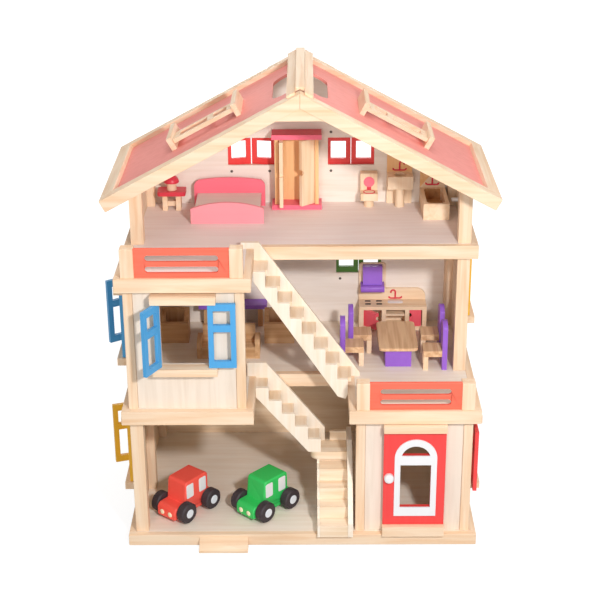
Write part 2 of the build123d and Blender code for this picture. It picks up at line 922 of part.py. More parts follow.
with BuildPart() as roof_window_strips:
    for side in (-1, 1):
        for near, far in (strip_near, strip_far):
            outline = [
                slope_point(side, near, -panel_recess + seat_gap),
                slope_point(side, far, -panel_recess + seat_gap),
                slope_point(side, far, strip_depth - panel_recess),
                slope_point(side, near, strip_depth - panel_recess),
            ]
            board_y(outline, roof_window_front, roof_window_front + roof_window_strip)
        bore = pin_length + end_clear
        slope_bar(side, strip_near[1] - bore, bore, pin_radius + pin_clear, Mode.SUBTRACT)
        slope_bar(side, strip_far[0], bore, pin_radius + pin_clear, Mode.SUBTRACT)
save(roof_window_strips, "roof_window_strips")

for name, side in (("left", -1), ("right", 1)):
    start = strip_near[1] + end_clear
    x, z = slope_point(side, start, roof_pivot_lift)
    down = (side * cos(pitch), 0, -sin(pitch))
    off = (side * sin(pitch), 0, cos(pitch))
    with BuildPart() as roof_leaf:
        with BuildSketch(Plane(origin=(x, roof_pivot_y, z), x_dir=down, z_dir=off)) as leaf_face:
            turn = side
            with Locations((roof_leaf_length / 2, turn * (leaf_reach - leaf_lap) / 2)):
                Rectangle(roof_leaf_length, leaf_reach + leaf_lap)
            for left, right, low, high in large_panes(leaf_reach):
                with Locations((roof_leaf_length - (low + high) / 2, turn * (left + right) / 2)):
                    Rectangle(high - low, right - left, mode=Mode.SUBTRACT)
        extrude(leaf_face.sketch, amount=leaf_thick / 2, both=True)
        slope_bar(side, start - pin_length, pin_length, pin_radius)
        slope_bar(side, start + roof_leaf_length, pin_length, pin_radius)
    save(roof_leaf, f"{name}_roof_window")

# Stairs
rear_string = (main_face - stair_gap - string_thick, main_face - stair_gap)
stair_reach = bay_side - joint_gap


def flight(top, first, rise, run, count, width, depth, foot_line):
    """Treads and sawtooth front string of a flight that goes down to the right."""
    left = -stair_reach
    front = rear_string[0] - joint_gap - depth
    saw = []
    for step in range(count):
        level = top - first - step * rise
        start = left + step * run
        block(start, start + width, front, rear_string[0] - joint_gap, level - tread_thick, level)
        saw.append((start, level))
        saw.append((start + run, level))
    tail = saw[-1]
    outline = saw + foot_line(tail) + [(left, saw[0][1] - front_string_depth)]
    board_y(outline, front - joint_gap - string_thick, front - joint_gap)



def upper_foot(tail):
    """Lower end of the upper flight's front string, beside the terrace beam."""
    toe = stair_reach
    heel = toe - front_string_depth
    sole = floor_2 - front_string_depth
    return [(toe, tail[1]), (toe, sole + leg), (toe - leg / 2, sole), (heel, sole + leg / 2)]


def rear_outline(top, hook, hook_rise, left_end, foot_points, drop):
    """Rear string with a hook over the beam at its upper end."""
    seat = top + seat_gap
    crest = top + hook_rise
    hook_line = [(-stair_reach, seat), (left_end, seat), (left_end, crest), (left_end + hook, crest)]
    return hook_line + foot_points + [(-stair_reach, top - drop)]


upper_left = -bay_side - upper_hook
upper_right = bay_side + upper_hook
with BuildPart() as upper_stair:
    flight(
        floor_3, upper_first, upper_rise, upper_run, upper_treads, upper_tread_width,
        upper_tread_depth, upper_foot,
    )
    upper_end = [
        (upper_right, floor_2 + panel_thick),
        (upper_right, floor_2 + seat_gap),
        (stair_reach, floor_2 + seat_gap),
        (stair_reach, floor_2 - beam_height),
    ]
    crest_outline = rear_outline(
        floor_3, upper_hook + leg, upper_hook_rise, upper_left, upper_end, upper_string_drop,
    )
    board_y(crest_outline, *rear_string)
save(upper_stair, "upper_stair")

landing_top = floor_1 + landing_height
lower_left = -bay_side - lower_hook


def lower_foot(tail):
    """Lower end of the lower flight's front string, standing on the landing."""
    seat = landing_top + seat_gap
    return [(tail[0], seat), (landing_left - leg / 2, seat)]


with BuildPart() as lower_stair:
    flight(
        floor_2, lower_first, lower_rise, lower_run, lower_treads, lower_tread_width,
        lower_tread_depth, lower_foot,
    )
    lower_end = [
        (guard_left - leg, landing_top + step_run),
        (guard_left - leg, landing_top + seat_gap),
        (landing_left - leg / 2, landing_top + seat_gap),
    ]
    hook_length = lower_hook + front_string_depth
    crest_outline = rear_outline(
        floor_2, hook_length, lower_hook_rise, lower_left, lower_end, lower_string_drop,
    )
    board_y(crest_outline, *rear_string)
save(lower_stair, "lower_stair")

step_rise = landing_height / (step_count + 1)
landing_front = rear_string[0] - 2 * joint_gap - lower_tread_depth - string_thick
landing_back = rear_string[1]
step_left = left_string_x + left_string_thick + joint_gap
step_right = landing_right - joint_gap
step_back = landing_front + step_run
landing_low = landing_top - landing_thick
with BuildPart() as front_stair:
    left_edge = []
    for step in range(step_count):
        front = step_front + step * step_run
        level = floor_1 + (step + 1) * step_rise
        back = front + step_run + leg
        block(step_left, step_right, front, back, level - step_rise + joint_gap, level)
        left_edge.append((front, level - step_rise + seat_gap))
        left_edge.append((front, level))
    crown = landing_low - joint_gap
    riser_low = floor_1 + step_count * step_rise + joint_gap
    block(step_left, step_right, landing_front + leg, step_back, riser_low, crown)
    heel = [
        (landing_front, left_edge[-1][1]),
        (landing_front, crown),
        (landing_back, crown),
        (landing_back, floor_1),
        (landing_back - post, floor_1),
        (landing_back - post, floor_1 + landing_height / 2),
        (step_front + 2 * step_run, floor_1),
    ]
    left_edge[0] = (step_front, floor_1)
    board_x(left_edge + heel, left_string_x, left_string_x + left_string_thick)
    with BuildSketch(Plane.XY.offset(landing_low)) as landing_face:
        with Locations(((landing_left + step_right) / 2, (landing_front + landing_back) / 2)):
            Rectangle(step_right - landing_left, landing_back - landing_front)
        fillet(landing_face.vertices().group_by(Axis.X)[0].sort_by(Axis.Y)[0], landing_round)
    extrude(landing_face.sketch, amount=landing_thick)
    block(
        guard_left, step_right, rear_string[0], landing_back, landing_top + joint_gap,
        landing_top + guard_rise,
    )
    board_top = landing_top + side_board_top
    board_rise = floor_1 + side_board_toe
    with BuildSketch(Plane.YZ.offset(landing_right)) as board_face:
        with BuildLine():
            Polyline((landing_front, board_top), (landing_back, board_top), (landing_back, floor_1),
                     (step_front, floor_1), (step_front, board_rise))
            bow = ((step_front + landing_front) / 2 - leg, (board_rise + board_top) / 2 + leg)
            ThreePointArc((step_front, board_rise), bow, (landing_front, board_top))
        make_face()
    extrude(board_face.sketch, amount=side_board_thick)
save(front_stair, "front_stair")

# Bedroom
with BuildPart() as bedroom_furniture:
    bed_head = bed_foot + bed_length
    foot_plane = Plane(origin=(bed_x, bed_foot, floor_3), x_dir=(1, 0, 0), z_dir=(0, -1, 0))
    with BuildSketch(foot_plane) as foot_face:
        arched(bed_width, footboard, footboard_arch)
    extrude(foot_face.sketch, amount=-bed_board)
    head_plane = Plane(origin=(bed_x, bed_head, floor_3), x_dir=(1, 0, 0), z_dir=(0, -1, 0))
    with BuildSketch(head_plane) as head_face:
        arched(bed_width, headboard, headboard_arch)
        fillet(head_face.vertices().group_by(Axis.Y)[-1], headboard_round)
    extrude(head_face.sketch, amount=bed_board)
    bed_half = bed_width / 2 - bed_board
    lie_front = bed_foot + bed_board + joint_gap
    lie_back = bed_head - bed_board - joint_gap
    block(
        bed_x - bed_half, bed_x + bed_half, lie_front, lie_back, floor_3 + mattress_low,
        floor_3 + mattress_high,
    )
    stand_left = stand_x - stand_width / 2
    stand_front = stand_y - stand_depth / 2
    stand_low = floor_3 + stand_height - stand_top
    stand_high = floor_3 + stand_height
    stand_right = stand_left + stand_width
    stand_rear = stand_front + stand_depth
    rounded_block(stand_left, stand_right, stand_front, stand_rear, stand_low, stand_high, leg / 2)
    for x in (stand_left + leg, stand_right - 2 * leg):
        block(x, x + leg, stand_front + leg / 2, stand_rear - leg / 2, floor_3, stand_low - joint_gap)
    rail_low = floor_3 + stand_rail
    block(
        stand_left + leg, stand_right - leg, stand_y - leg / 2, stand_y + leg / 2, rail_low,
        rail_low + leg,
    )
    lamp_foot = stand_high + joint_gap
    upright(stand_x, stand_y, lamp_foot, lamp_radius, lamp_height)
    with Locations((stand_x, stand_y, lamp_foot + lamp_height + joint_gap)):
        Sphere(shade_radius, arc_size1=0)
save(bedroom_furniture, "bedroom_furniture")

# Wardrobe
wardrobe_left = wardrobe_x - wardrobe_width / 2
wardrobe_right = wardrobe_x + wardrobe_width / 2
wardrobe_back = wardrobe_front + wardrobe_depth
wardrobe_low = floor_3 + wardrobe_plate
wardrobe_high = floor_3 + wardrobe_height - wardrobe_plate
wardrobe_pins = {
    "left": (wardrobe_left + wardrobe_side + cabinet_setback, wardrobe_front + cabinet_setback),
    "right": (wardrobe_right - wardrobe_side - cabinet_setback, wardrobe_front + cabinet_setback),
}
with BuildPart() as wardrobe:
    cap_left = wardrobe_x - wardrobe_cap / 2
    cap_right = wardrobe_x + wardrobe_cap / 2
    cap_front = wardrobe_front - beam_thick / 2
    block(cap_left, cap_right, cap_front, wardrobe_back, floor_3, wardrobe_low)
    block(cap_left, cap_right, cap_front, wardrobe_back, wardrobe_high, floor_3 + wardrobe_height)
    block(
        wardrobe_left, wardrobe_left + wardrobe_side, wardrobe_front, wardrobe_back, wardrobe_low,
        wardrobe_high,
    )
    block(
        wardrobe_right - wardrobe_side, wardrobe_right, wardrobe_front, wardrobe_back,
        wardrobe_low, wardrobe_high,
    )
    block(
        wardrobe_left, wardrobe_right, wardrobe_back - wall_thick, wardrobe_back, wardrobe_low,
        wardrobe_high,
    )
    bore = cabinet_pin_length + end_clear
    for x, y in wardrobe_pins.values():
        upright(x, y, wardrobe_low - bore, cabinet_pin + pin_clear, bore, Mode.SUBTRACT)
        upright(x, y, wardrobe_high, cabinet_pin + pin_clear, bore, Mode.SUBTRACT)
save(wardrobe, "wardrobe")

wardrobe_reach = wardrobe_x - wardrobe_pins["left"][0] - end_clear
wardrobe_leaf = wardrobe_high - wardrobe_low - 2 * end_clear
for name, turn in (("left", -90.0), ("right", 220.0)):
    hinge = wardrobe_pins[name]
    foot = wardrobe_low + end_clear
    with BuildPart() as wardrobe_door:
        leaf(
            hinge, radians(turn), foot, wardrobe_leaf, wardrobe_reach, cabinet_door, [],
            cabinet_pin, cabinet_pin_length,
        )
        tip_x = hinge[0] + wardrobe_reach * cos(radians(turn))
        tip_y = hinge[1] + wardrobe_reach * sin(radians(turn))
        with Locations(Location((tip_x, tip_y, foot + notch_level), (90, 0, turn))):
            Cylinder(finger_notch, 2 * cabinet_door, mode=Mode.SUBTRACT)
    save(wardrobe_door, f"wardrobe_{name}_door")

# Bathroom
with BuildPart() as bathroom_furniture:
    toilet_left = toilet_x - toilet_width / 2
    toilet_right = toilet_x + toilet_width / 2
    toilet_back = toilet_front + toilet_depth
    seat_high = floor_3 + toilet_seat
    upright(
        toilet_x, (toilet_front + toilet_back) / 2, floor_3, pedestal_radius,
        toilet_seat - seat_thick,
    )
    block(toilet_left, toilet_right, toilet_front, toilet_back, seat_high - seat_thick, seat_high)
    block(
        toilet_left, toilet_right, toilet_back - cistern_thick, toilet_back, seat_high,
        floor_3 + cistern_height,
    )
    basin_left = basin_x - basin_width / 2
    basin_right = basin_x + basin_width / 2
    basin_back = basin_front + basin_depth
    basin_low = floor_3 + basin_rim - basin_thick
    basin_y = (basin_front + basin_back) / 2
    block(basin_left, basin_right, basin_front, basin_back, basin_low, floor_3 + basin_rim)
    bowl_floor = floor_3 + basin_rim - basin_bowl_depth
    upright(basin_x, basin_y, bowl_floor, basin_bowl, basin_bowl_depth, Mode.SUBTRACT)
    upright(basin_x, basin_y, floor_3, pedestal_radius, basin_rim - basin_thick)
    block(basin_left, basin_right, basin_back, basin_back + wall_thick, floor_3, floor_3 + splash_height)
    tub_left = tub_x - tub_width / 2
    tub_right = tub_x + tub_width / 2
    tub_back = tub_front + tub_length
    tub_top = floor_3 + tub_height
    block(tub_left, tub_right, tub_front, tub_back, floor_3, tub_top)
    inner_x = (tub_left + tub_wall, tub_right - tub_wall)
    inner_y = (tub_front + tub_wall, tub_back - tub_wall)
    rounded_block(*inner_x, *inner_y, floor_3 + tub_floor, tub_top, tub_round, Mode.SUBTRACT)
    block(tub_left, tub_right, tub_back, tub_back + wall_thick, floor_3, floor_3 + tub_board_height)
save(bathroom_furniture, "bathroom_furniture")

# Kitchen
kitchen_right = kitchen_left + kitchen_width
kitchen_rear = kitchen_front + kitchen_depth
kitchen_low = floor_2 + kitchen_board
kitchen_top = floor_2 + kitchen_height
kitchen_high = kitchen_top - kitchen_board
bay_gap = (kitchen_width - sum(kitchen_bays)) / (len(kitchen_bays) + 1)
kitchen_cells = []
cell_left = kitchen_left + bay_gap
for width in kitchen_bays:
    kitchen_cells.append((cell_left, cell_left + width))
    cell_left += width + bay_gap
kitchen_pins = {
    "left": (kitchen_cells[0][0] + cabinet_setback, kitchen_front + cabinet_setback),
    "right": (kitchen_cells[2][1] - cabinet_setback, kitchen_front + cabinet_setback),
}
with BuildPart() as kitchen_unit:
    block(kitchen_left, kitchen_right, kitchen_front, kitchen_rear, floor_2, kitchen_top)
    for x0, x1 in kitchen_cells:
        block(
            x0, x1, kitchen_front, kitchen_rear - kitchen_board, kitchen_low, kitchen_high,
            Mode.SUBTRACT,
        )
    board_end = kitchen_rear + kitchen_back
    shelf_low = kitchen_low + shelf_level
    block(
        *kitchen_cells[1], kitchen_front + shelf_thick, kitchen_rear, shelf_low,
        shelf_low + shelf_thick,
    )
    board_face = Plane(origin=(kitchen_left, kitchen_rear, floor_2), x_dir=(1, 0, 0), z_dir=(0, -1, 0))
    with BuildSketch(board_face) as splash_face:
        with Locations((kitchen_width / 2, kitchen_splash / 2)):
            Rectangle(kitchen_width, kitchen_splash)
        fillet(splash_face.vertices().sort_by(Axis.X).group_by(Axis.Y)[-1][-1], splash_round)
    extrude(splash_face.sketch, amount=-kitchen_back)
    with BuildSketch(board_face) as chimney_face:
        with Locations((chimney_width / 2, chimney_height / 2)):
            Rectangle(chimney_width, chimney_height)
        fillet(chimney_face.vertices().group_by(Axis.Y)[-1], chimney_round)
    extrude(chimney_face.sketch, amount=-kitchen_back)
    hood_left = kitchen_left + (chimney_width - hood_width) / 2
    hood_side = Plane(
        origin=(hood_left, kitchen_rear - joint_gap, floor_2 + hood_foot), x_dir=(0, -1, 0),
        z_dir=(-1, 0, 0),
    )
    with BuildSketch(hood_side) as lip_face:
        with Locations((hood_depth / 2, hood_lip / 2)):
            Rectangle(hood_depth, hood_lip)
        fillet(lip_face.vertices().group_by(Axis.X)[-1], hood_round)
    extrude(lip_face.sketch, amount=-hood_width)
    with BuildSketch(hood_side.offset(-hood_inset)) as hood_face:
        hood = [(0, 0), (hood_neck, 0), (hood_crown, hood_height), (0, hood_height)]
        Polygon(*hood, align=None)
    extrude(hood_face.sketch, amount=2 * hood_inset - hood_width)
    bore = cabinet_pin_length + end_clear
    for x, y in kitchen_pins.values():
        upright(x, y, kitchen_low - bore, cabinet_pin + pin_clear, bore, Mode.SUBTRACT)
        upright(x, y, kitchen_high, cabinet_pin + pin_clear, bore, Mode.SUBTRACT)
save(kitchen_unit, "kitchen_unit")

kitchen_leaf = kitchen_high - kitchen_low - 2 * end_clear
for name, turn, cell in (("left", -45.0, 0), ("right", 180.0, 2)):
    width = kitchen_cells[cell][1] - kitchen_cells[cell][0]
    reach = width - cabinet_setback - end_clear
    with BuildPart() as kitchen_door:
        foot = kitchen_low + end_clear
        leaf(
            kitchen_pins[name], radians(turn), foot, kitchen_leaf, reach, cabinet_door, [],
            cabinet_pin, cabinet_pin_length,
        )
        tip_x = kitchen_pins[name][0] + reach * cos(radians(turn))
        tip_y = kitchen_pins[name][1] + reach * sin(radians(turn))
        with Locations(Location((tip_x, tip_y, foot + kitchen_notch_level), (90, 0, turn))):
            Cylinder(kitchen_notch, 2 * cabinet_door, mode=Mode.SUBTRACT)
    save(kitchen_door, f"kitchen_{name}_door")

# Dining table and chairs
with BuildPart() as dining_set:
    table_left = table_x - table_width / 2
    table_front = table_y - table_length / 2
    table_low = floor_2 + table_height - table_thick
    table_high = floor_2 + table_height
    rounded_block(
        table_left, table_left + table_width, table_front, table_front + table_length, table_low,
        table_high, table_round,
    )
    trestle_left = table_x - trestle_width / 2
    trestle_front = table_y - trestle_length / 2
    trestle_right = trestle_left + trestle_width
    block(
        trestle_left, trestle_right, trestle_front, trestle_front + trestle_length, floor_2,
        table_low - joint_gap,
    )
    for x, shift, way in chair_places:
        y = room_middle + shift
        with BuildSketch(Plane(origin=(x, y, floor_2), x_dir=(0, 1, 0), z_dir=(1, 0, 0))) as back_face:
            arched(chair_width, chair_back - leg, leg)
        extrude(back_face.sketch, amount=way * chair_board)
        near = x + way * (chair_board + joint_gap)
        far = near + way * chair_seat
        x0, x1 = sorted((near, far))
        seat_low = floor_2 + chair_level - chair_seat_thick
        block(x0, x1, y - chair_width / 2, y + chair_width / 2, seat_low, floor_2 + chair_level)
        x0, x1 = sorted((far, far - way * leg))
        for edge in (-1, 1):
            y0, y1 = sorted((y + edge * chair_width / 2, y + edge * (chair_width / 2 - leg)))
            block(x0, x1, y0, y1, floor_2, seat_low - joint_gap)
save(dining_set, "dining_set")


def sofa():
    """Sofa: a seat block between two round-cornered arms and a back."""
    left = sofa_x - sofa_width / 2
    right = sofa_x + sofa_width / 2
    rear = sofa_front + sofa_depth
    inner = (left + sofa_board + joint_gap, right - sofa_board - joint_gap)
    block(*inner, sofa_front, rear - sofa_board - joint_gap, floor_2, floor_2 + sofa_seat)
    block(*inner, rear - sofa_board, rear, floor_2, floor_2 + sofa_back)
    for x0 in (left, right - sofa_board):
        with BuildSketch(Plane.YZ.offset(x0)) as arm_face:
            with Locations(((sofa_front + rear) / 2, floor_2 + sofa_arm / 2)):
                Rectangle(sofa_depth, sofa_arm)
            fillet(arm_face.vertices().group_by(Axis.Y)[-1], arm_round)
        extrude(arm_face.sketch, amount=sofa_board)


def armchair(x, front, width):
    """Armchair: a full front board, sides that slope up to the back, and a sunk seat."""
    left = x - width / 2
    right = x + width / 2
    rear = front + armchair_depth
    behind = front + sofa_board + joint_gap
    inner = (left + sofa_board + joint_gap, right - sofa_board - joint_gap)
    block(left, right, front, front + sofa_board, floor_2, floor_2 + armchair_front)
    block(*inner, behind, rear - sofa_board - joint_gap, floor_2, floor_2 + armchair_seat)
    block(*inner, rear - sofa_board, rear, floor_2, floor_2 + armchair_back)
    slope = [
        (behind, floor_2),
        (behind, floor_2 + armchair_front),
        (rear, floor_2 + armchair_back),
        (rear, floor_2),
    ]
    for x0 in (left, right - sofa_board):
        board_x(slope, x0, x0 + sofa_board)


# Living room
with BuildPart() as living_furniture:
    sofa()
    for x, shift, width in armchair_places:
        armchair(x, room_middle + shift, width)
    table_side = side_table_x - side_table_width / 2
    table_far = table_side + side_table_width
    table_rear = side_table_front + side_table_depth
    table_under = floor_2 + side_table_height - side_table_top
    block(table_side, table_far, side_table_front, table_rear, table_under, floor_2 + side_table_height)
    for x in (table_side + leg, table_far - 2 * leg):
        block(x, x + leg, side_table_front + leg, table_rear, floor_2, table_under - joint_gap)
save(living_furniture, "living_furniture")

# Cars
for name, (x, setback, heading) in car_places.items():
    ahead = (cos(radians(heading)), sin(radians(heading)), 0)
    stand = Plane(origin=(x, front_face + setback, floor_1), x_dir=ahead)
    side_plane = Plane(origin=stand.origin, x_dir=stand.x_dir, z_dir=-stand.y_dir)
    axle_level = wheel_radius + seat_gap
    with BuildPart() as car:
        with BuildSketch(side_plane) as body_side:
            with Locations((0, (car_clear + car_bonnet) / 2)):
                Rectangle(car_length, car_bonnet - car_clear)
            fillet(body_side.vertices().group_by(Axis.Y)[-1], nose_round)
        extrude(body_side.sketch, amount=car_width / 2, both=True)
        cab_side = [
            (cab_rear, car_bonnet - car_edge),
            (cab_front, car_bonnet - car_edge),
            (cab_front - cab_lean, car_roof),
            (cab_rear, car_roof),
        ]
        with BuildSketch(side_plane) as cab:
            Polygon(*cab_side, align=None)
            fillet(cab.vertices().group_by(Axis.Y)[-1], 2 * car_edge)
        extrude(cab.sketch, amount=car_width / 2, both=True)
        side_faces = car.faces().filter_by(Axis(stand.origin, stand.y_dir))
        fillet(side_faces.edges(), car_soft)
        for place in (-1, 1):
            with BuildSketch(side_plane) as bore_face:
                with Locations((place * wheelbase / 2, axle_level)):
                    Circle(axle_radius + pin_clear)
            extrude(bore_face.sketch, amount=car_width, both=True, mode=Mode.SUBTRACT)
    save(car, name)
    for label, place in (("front", 1), ("rear", -1)):
        with BuildPart() as axle:
            with BuildSketch(side_plane) as rod:
                with Locations((place * wheelbase / 2, axle_level)):
                    Circle(axle_radius)
            extrude(rod.sketch, amount=car_width / 2 + wheel_gap + wheel_width / 2, both=True)
            for edge in (-1, 1):
                inner = edge * (car_width / 2 + wheel_gap)
                with BuildSketch(side_plane.offset(inner)) as tyre:
                    with Locations((place * wheelbase / 2, axle_level)):
                        Circle(wheel_radius)
                wheel = extrude(tyre.sketch, amount=edge * wheel_width)
                chamfer(wheel.edges().filter_by(GeomType.CIRCLE), wheel_edge)
        save(axle, f"{name}_{label}_axle")
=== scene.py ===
import json
import math

import bmesh
import bpy
from mathutils import Matrix, Vector
from mathutils.bvhtree import BVHTree


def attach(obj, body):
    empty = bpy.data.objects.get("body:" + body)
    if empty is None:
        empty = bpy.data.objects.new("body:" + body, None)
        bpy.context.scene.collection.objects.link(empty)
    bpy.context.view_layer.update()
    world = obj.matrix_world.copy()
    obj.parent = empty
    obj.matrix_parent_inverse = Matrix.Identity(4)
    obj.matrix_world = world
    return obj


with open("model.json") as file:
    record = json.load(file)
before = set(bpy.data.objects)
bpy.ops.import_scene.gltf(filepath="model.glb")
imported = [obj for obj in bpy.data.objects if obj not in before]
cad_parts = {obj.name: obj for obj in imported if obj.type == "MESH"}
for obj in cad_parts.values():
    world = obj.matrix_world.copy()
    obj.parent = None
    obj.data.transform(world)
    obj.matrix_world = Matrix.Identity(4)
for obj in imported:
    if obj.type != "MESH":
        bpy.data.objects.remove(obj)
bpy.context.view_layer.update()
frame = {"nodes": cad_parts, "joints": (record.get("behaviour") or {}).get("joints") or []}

nodes = frame["nodes"]
pivots = {joint["child"]: Vector(joint["pos_m"]) for joint in frame["joints"]}
MM = 0.001
AXES = "xyz"


# Colours and materials

def linear(red, green, blue):
    """Linear colour from 8-bit display values."""
    channels = []
    for value in (red, green, blue):
        part = value / 255
        channels.append(part / 12.92 if part <= 0.04045 else ((part + 0.055) / 1.055) ** 2.4)
    return (*channels, 1.0)


# Grain lines per metre along and across the fibres, and the size of slow patches
WOOD_ALONG, WOOD_ACROSS = 7, 110
PAINT_ALONG, PAINT_ACROSS = 10, 150
PATCHES = 9.0
PATCH_LEVELS = {"From Min": 0.3, "From Max": 0.7, "To Min": 0.94, "To Max": 1.02}
DARK_LINE, LIGHT_LINE = 0.3, 0.62
WOOD_ROUGHNESS = 0.58
MATT_SPECULAR, GLOSS_SPECULAR = 0.25, 0.4
MATT_FROM = 0.5
PAINT_DEEP, PAINT_PALE = 0.35, 0.12
WOOD_RELIEF = (0.12, 0.0004)
PAINT_RELIEF = (0.08, 0.0003)

# Each wood has a light and a dark display colour
WOODS = {
    "pine": ((247, 221, 192), (238, 199, 160)),
    "inner": ((248, 237, 227), (241, 227, 214)),
    # Side walls and rear face: plain wood tone made warmer, partly painted shade, since the side
    # walls stand in shade
    "side": ((246, 226, 200), (236, 210, 180)),
    # Ground-floor inner walls: darker, warmer wood that is painted shade of the rooms under the
    # upper floor
    "ground": ((242, 216, 186), (228, 196, 160)),
    # Living-room furniture: darker brown wood, painted shade of the room behind the bay
    "living_shade_tan": ((226, 184, 140), (202, 154, 108)),
    "wall": ((242, 227, 211), (233, 216, 198)),
    "floor": ((250, 238, 224), (242, 226, 208)),
    "attic": ((252, 240, 236), (247, 231, 226)),
    "tread": ((250, 230, 206), (238, 208, 172)),
    "string": ((253, 240, 224), (246, 228, 204)),
    "toy": ((252, 226, 196), (242, 208, 170)),
    "plank": ((240, 202, 160), (208, 160, 118)),
    # Inside of the bath: darker wood, painted shade in the hollow
    "dark": ((214, 162, 112), (188, 132, 84)),
    "orange": ((252, 205, 150), (240, 182, 124)),
    "leaf": ((255, 228, 196), (250, 212, 170)),
}

# Each paint has one display colour, a roughness and how strongly the grain shows
PAINTS = {
    "salmon": ((250, 152, 140), 0.6, 0.5),
    "rail": ((255, 108, 80), 0.5, 0.35),
    "red": ((240, 64, 62), 0.42, 0.2),
    "cherry": ((250, 95, 110), 0.42, 0.2),
    "white": ((238, 238, 240), 0.4, 0.1),
    "blue": ((72, 162, 220), 0.42, 0.2),
    "yellow": ((250, 190, 40), 0.42, 0.2),
    "green": ((88, 140, 60), 0.42, 0.2),
    "purple": ((155, 100, 215), 0.42, 0.2),
    "pink": ((255, 160, 170), 0.42, 0.15),
    "rose": ((255, 120, 140), 0.42, 0.15),
    "crimson": ((222, 52, 72), 0.36, 0.15),
    "blush": ((255, 115, 140), 0.42, 0.15),
    "sheet": ((244, 226, 218), 0.75, 0.3),
    "car_red": ((255, 92, 78), 0.34, 0.12),
    "car_green": ((48, 200, 95), 0.34, 0.12),
    "tyre": ((55, 45, 50), 0.55, 0.2),
    "hub": ((225, 230, 238), 0.35, 0.08),
    "cream": ((252, 240, 206), 0.35, 0.1),
    "black": ((24, 20, 22), 0.5, 0.2),
    "steel": ((92, 82, 74), 0.38, 0.2),
}


def add(tree, kind, values=None, **settings):
    """A shader node with its sockets and settings filled in."""
    node = tree.nodes.new(kind)
    for key, value in settings.items():
        setattr(node, key, value)
    for socket, value in (values or {}).items():
        node.inputs[socket].default_value = value
    return node


def grain_place(tree, axis, along, across):
    """Object coordinates stretched along the grain, and the same unstretched."""
    place = add(tree, "ShaderNodeTexCoord")
    scale = [across, across, across]
    scale[AXES.index(axis)] = along
    stretch = add(tree, "ShaderNodeMapping", {"Scale": scale})
    tree.links.new(place.outputs["Object"], stretch.inputs["Vector"])
    return stretch.outputs["Vector"], place.outputs["Object"]


def relief(tree, height, strength, depth):
    """A bump from a grey texture."""
    bump = add(tree, "ShaderNodeBump", {"Strength": strength, "Distance": depth})
    tree.links.new(height, bump.inputs["Height"])
    return bump.outputs["Normal"]


def start_material(name):
    """A new node material with its tree and its shader."""
    material = bpy.data.materials.new(name)
    material.use_nodes = True
    tree = material.node_tree
    return material, tree, tree.nodes["Principled BSDF"]


def wood(kind, axis):
    """Clear-lacquered wood with growth lines along one axis."""
    material, tree, shader = start_material(f"{kind}_{axis}")
    light, dark = WOODS[kind]
    vector, place = grain_place(tree, axis, WOOD_ALONG, WOOD_ACROSS)
    lines = add(tree, "ShaderNodeTexNoise", {"Scale": 1.0, "Detail": 5.0, "Distortion": 0.6})
    tree.links.new(vector, lines.inputs["Vector"])
    ramp = add(tree, "ShaderNodeValToRGB")
    ramp.color_ramp.elements[0].position = DARK_LINE
    ramp.color_ramp.elements[0].color = linear(*dark)
    ramp.color_ramp.elements[1].position = LIGHT_LINE
    ramp.color_ramp.elements[1].color = linear(*light)
    tree.links.new(lines.outputs["Fac"], ramp.inputs["Fac"])
    patch = add(tree, "ShaderNodeTexNoise", {"Scale": PATCHES, "Detail": 1.0})
    tree.links.new(place, patch.inputs["Vector"])
    level = add(tree, "ShaderNodeMapRange", PATCH_LEVELS)
    tree.links.new(patch.outputs["Fac"], level.inputs["Value"])
    tint = add(tree, "ShaderNodeHueSaturation")
    tree.links.new(level.outputs["Result"], tint.inputs["Value"])
    tree.links.new(ramp.outputs["Color"], tint.inputs["Color"])
    tree.links.new(tint.outputs["Color"], shader.inputs["Base Color"])
    tree.links.new(relief(tree, lines.outputs["Fac"], *WOOD_RELIEF), shader.inputs["Normal"])
    shader.inputs["Roughness"].default_value = WOOD_ROUGHNESS
    shader.inputs["Specular IOR Level"].default_value = MATT_SPECULAR
    return material


def paint(kind, axis):
    """Thin paint on wood, with the grain just showing through."""
    material, tree, shader = start_material(f"{kind}_{axis}")
    colour, roughness, show = PAINTS[kind]
    vector = grain_place(tree, axis, PAINT_ALONG, PAINT_ACROSS)[0]
    lines = add(tree, "ShaderNodeTexNoise", {"Scale": 1.0, "Detail": 4.0, "Distortion": 0.3})
    tree.links.new(vector, lines.inputs["Vector"])
    mix = add(tree, "ShaderNodeMix", data_type="RGBA")
    deep = [value * (1 - PAINT_DEEP * show) for value in linear(*colour)[:3]]
    pale = [value + (1 - value) * PAINT_PALE * show for value in linear(*colour)[:3]]
    mix.inputs["A"].default_value = (*deep, 1.0)
    mix.inputs["B"].default_value = (*pale, 1.0)
    tree.links.new(lines.outputs["Fac"], mix.inputs["Factor"])
    tree.links.new(mix.outputs["Result"], shader.inputs["Base Color"])
    tree.links.new(relief(tree, lines.outputs["Fac"], *PAINT_RELIEF), shader.inputs["Normal"])
    shader.inputs["Roughness"].default_value = roughness
    specular = MATT_SPECULAR if roughness > MATT_FROM else GLOSS_SPECULAR
    shader.inputs["Specular IOR Level"].default_value = specular
    return material


made = {}


def material(kind, axis="x"):
    """The material of a wood or paint with its grain along an axis."""
    key = (kind, axis)
    if key not in made:
        made[key] = wood(kind, axis) if kind in WOODS else paint(kind, axis)
    return made[key]


# Dressing of the CAD nodes

